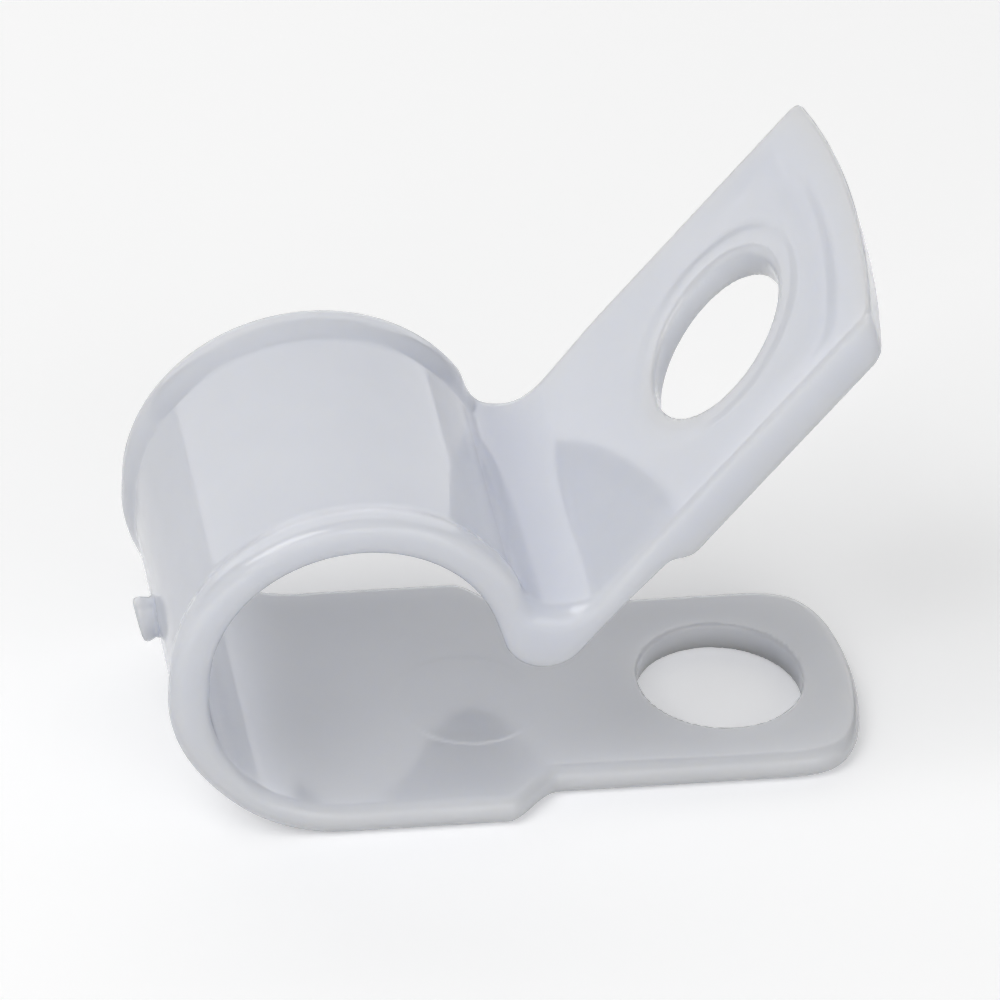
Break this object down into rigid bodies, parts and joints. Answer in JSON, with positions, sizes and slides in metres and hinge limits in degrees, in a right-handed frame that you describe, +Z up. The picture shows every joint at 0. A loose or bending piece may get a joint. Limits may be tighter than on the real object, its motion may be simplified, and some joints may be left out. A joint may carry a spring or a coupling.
{
  "type": "cable clamp",
  "caption": "Moulded nylon cable clamp: a strap loop with a flat lower tab and a raised arm, each with a screw hole, that closes round a cable.",
  "frame": {"origin": "where the axis of the lower screw hole meets the flat underside", "axes": "+X from the loop towards the tab's end, +Y across the strap along the cable, +Z up from the underside"},
  "size_m": [0.0242, 0.0122, 0.0201],
  "materials": {
    "nylon": "semi-gloss, translucent"
  },
  "bodies": {
    "root": {"clamp": "nylon"}
  },
  "joints": []
}
